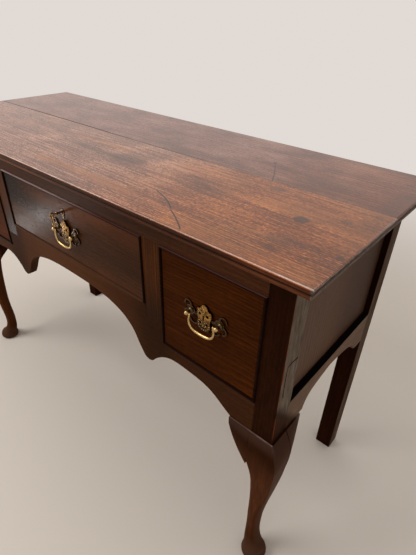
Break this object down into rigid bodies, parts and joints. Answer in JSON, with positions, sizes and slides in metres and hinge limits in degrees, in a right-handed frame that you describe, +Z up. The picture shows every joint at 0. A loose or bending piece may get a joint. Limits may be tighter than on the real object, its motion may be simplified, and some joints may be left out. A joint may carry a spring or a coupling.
{
  "type": "lowboy",
  "caption": "Low oak side table with a moulded top, a shaped apron, drawers with swinging brass bail handles, and cabriole front legs on pad feet.",
  "frame": {"origin": "on the floor, under the middle of the top", "axes": "+X to the right as one faces the drawers, +Y from the front to the back, +Z up"},
  "size_m": [1.2, 0.476, 0.78],
  "materials": {
    "top_oak": "waxed",
    "case_oak": "waxed",
    "drawer_front_oak": "waxed",
    "inner_oak": "dry",
    "brass": "worn"
  },
  "bodies": {
    "case": {"back_left_leg": "case_oak", "back_lower_board": "inner_oak", "back_right_leg": "case_oak", "back_upper_board": "inner_oak", "cock_beads": "case_oak", "drawer_kickers": "inner_oak", "drawer_runners": "inner_oak", "drawer_stops": "inner_oak", "front_apron": "case_oak", "front_left_knee_bracket": "case_oak", "front_left_leg": "case_oak", "front_right_knee_bracket": "case_oak", "front_right_leg": "case_oak", "front_top_rail": "case_oak", "left_muntin": "case_oak", "left_side_lower_rail": "case_oak", "left_side_panel": "case_oak", "left_side_upper_rail": "case_oak", "right_muntin": "case_oak", "right_side_lower_rail": "case_oak", "right_side_panel": "case_oak", "right_side_upper_rail": "case_oak", "side_left_knee_bracket": "case_oak", "side_right_knee_bracket": "case_oak", "top_back_board": "top_oak", "top_front_board": "top_oak", "top_glue_blocks": "inner_oak"},
    "left_drawer": {"left_drawer_back": "inner_oak", "left_drawer_bottom": "inner_oak", "left_drawer_front": "drawer_front_oak", "left_drawer_left_side": "inner_oak", "left_drawer_right_side": "inner_oak", "left_handle_backplate": "brass", "left_handle_nuts": "brass", "left_handle_posts": "brass"},
    "left_bail": {"left_handle_bail": "brass"},
    "centre_drawer": {"centre_drawer_back": "inner_oak", "centre_drawer_bottom": "inner_oak", "centre_drawer_front": "drawer_front_oak", "centre_drawer_left_side": "inner_oak", "centre_drawer_right_side": "inner_oak", "centre_handle_backplate": "brass", "centre_handle_nuts": "brass", "centre_handle_posts": "brass", "escutcheon": "brass", "lock_case": "brass"},
    "centre_bail": {"centre_handle_bail": "brass"},
    "right_drawer": {"right_drawer_back": "inner_oak", "right_drawer_bottom": "inner_oak", "right_drawer_front": "drawer_front_oak", "right_drawer_left_side": "inner_oak", "right_drawer_right_side": "inner_oak", "right_handle_backplate": "brass", "right_handle_nuts": "brass", "right_handle_posts": "brass"},
    "right_bail": {"right_handle_bail": "brass"},
    "key": {"key": "brass"},
    "key_ring": {"key_ring": "brass"},
    "lock_bolt": {"lock_bolt": "brass"}
  },
  "joints": [
    {"name": "left_drawer_slide", "type": "slide", "parent": "case", "child": "left_drawer", "axis": [0, -1, 0], "range_m": [0, 0.3]},
    {"name": "centre_drawer_slide", "type": "slide", "parent": "case", "child": "centre_drawer", "axis": [0, -1, 0], "range_m": [0, 0.3]},
    {"name": "right_drawer_slide", "type": "slide", "parent": "case", "child": "right_drawer", "axis": [0, -1, 0], "range_m": [0, 0.3]},
    {"name": "left_bail_hinge", "type": "hinge", "parent": "left_drawer", "child": "left_bail", "pos_m": [-0.4003, -0.198, 0.6036], "axis": [-1, 0, 0], "range_deg": [-10, 165]},
    {"name": "centre_bail_hinge", "type": "hinge", "parent": "centre_drawer", "child": "centre_bail", "pos_m": [0.0036, -0.198, 0.624], "axis": [-1, 0, 0], "range_deg": [-10, 130]},
    {"name": "right_bail_hinge", "type": "hinge", "parent": "right_drawer", "child": "right_bail", "pos_m": [0.4003, -0.198, 0.6036], "axis": [-1, 0, 0], "range_deg": [-10, 165]},
    {"name": "key_turn", "type": "hinge", "parent": "centre_drawer", "child": "key", "pos_m": [0, -0.2115, 0.67], "axis": [0, 1, 0], "range_deg": [0, 180]},
    {"name": "lock_bolt_slide", "type": "slide", "parent": "centre_drawer", "child": "lock_bolt", "axis": [0, 0, 1], "range_m": [0, 0.0081]},
    {"name": "key_ring_swing", "type": "hinge", "parent": "key", "child": "key_ring", "pos_m": [0, -0.2115, 0.666], "axis": [-0.2924, -0.9563, 0], "range_deg": [-60, 60]}
  ],
  "couplings": [
    {"joint": "lock_bolt_slide", "follows": "key_turn", "m_per_rad": 0.002546}
  ]
}
